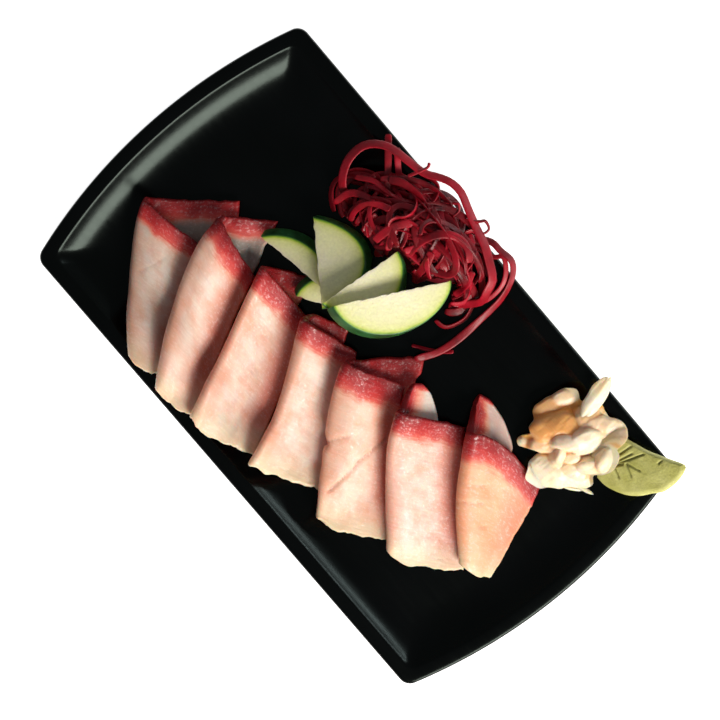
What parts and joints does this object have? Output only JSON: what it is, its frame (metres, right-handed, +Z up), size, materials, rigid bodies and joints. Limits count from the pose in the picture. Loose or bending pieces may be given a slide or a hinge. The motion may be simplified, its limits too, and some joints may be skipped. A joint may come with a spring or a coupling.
{
  "type": "sashimi plate",
  "caption": "Oblong black plate with bowed ends, served with shingled folded slices of raw yellowtail, cucumber half-moons, beet ribbons, pickled ginger and a wasabi leaf.",
  "frame": {"origin": "on the table, under the middle of the plate's foot", "axes": "+X along the plate, towards the end with the wasabi; +Y across it, towards the beets; +Z up"},
  "size_m": [0.3136, 0.1842, 0.0426],
  "materials": {
    "plate": "black melamine with a satin gloss",
    "yellowtail": "moist raw fish, pink and cream with a red band along the folded edge",
    "cucumber": "moist pale green flesh with dark green skin on the round edge",
    "beets": "moist crimson ribbons",
    "ginger": "moist, thin and cream coloured",
    "wasabi": "dull yellow-green paste"
  },
  "bodies": {
    "root": {"plate": "plate", "slice_1": "yellowtail", "slice_2": "yellowtail", "slice_3": "yellowtail", "slice_4": "yellowtail", "slice_5": "yellowtail", "slice_6": "yellowtail", "slice_7": "yellowtail", "cucumber_1": "cucumber", "cucumber_2": "cucumber", "cucumber_3": "cucumber", "cucumber_4": "cucumber", "cucumber_5": "cucumber", "beet_nest": "beets", "pickled_ginger": "ginger", "wasabi_leaf": "wasabi"}
  },
  "joints": []
}
